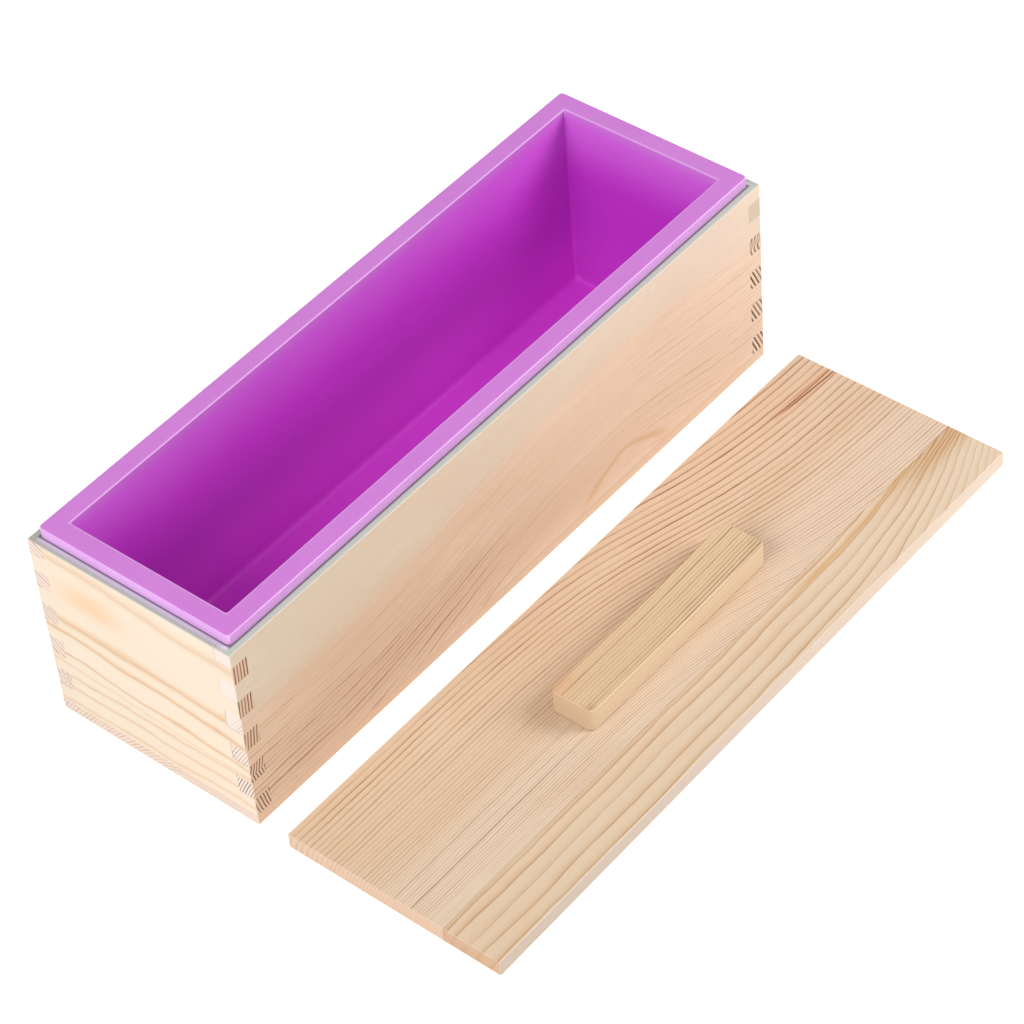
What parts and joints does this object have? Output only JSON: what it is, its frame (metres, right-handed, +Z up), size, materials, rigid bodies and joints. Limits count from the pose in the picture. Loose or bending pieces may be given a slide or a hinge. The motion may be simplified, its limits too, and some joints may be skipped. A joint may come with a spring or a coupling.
{
  "type": "soap loaf mould",
  "caption": "Finger-jointed pine box with a flanged silicone loaf liner and a loose pine lid with a bar handle lying beside it.",
  "frame": {"origin": "middle of the box's underside, on the surface that the box and the lid stand on", "axes": "+X along the loaf, +Z up, -Y towards the lid that lies beside the box"},
  "size_m": [0.283, 0.1943, 0.0865],
  "materials": {
    "pine_box": "bare sanded pine",
    "pine_lid": "bare sanded pine",
    "silicone": "satin translucent purple silicone",
    "steel": "bright zinc plated"
  },
  "bodies": {
    "box": {"base_board": "pine_box", "front_wall": "pine_box", "back_wall": "pine_box", "left_end": "pine_box", "right_end": "pine_box", "base_brad_1": "steel", "base_brad_2": "steel", "base_brad_3": "steel", "base_brad_4": "steel", "base_brad_5": "steel", "base_brad_6": "steel", "base_brad_7": "steel", "base_brad_8": "steel", "base_brad_9": "steel", "base_brad_10": "steel"},
    "liner": {"liner": "silicone"},
    "lid": {"lid_wide_board": "pine_lid", "lid_narrow_board": "pine_lid", "lid_handle": "pine_lid", "handle_screw_1": "steel", "handle_screw_2": "steel"}
  },
  "joints": [
    {"name": "liner_lift", "type": "slide", "parent": "box", "child": "liner", "axis": [0, 0, 1], "range_m": [0, 0.1]},
    {"name": "lid_lift", "type": "slide", "parent": "box", "child": "lid", "axis": [0, 0, 1], "range_m": [0, 0.12]}
  ]
}
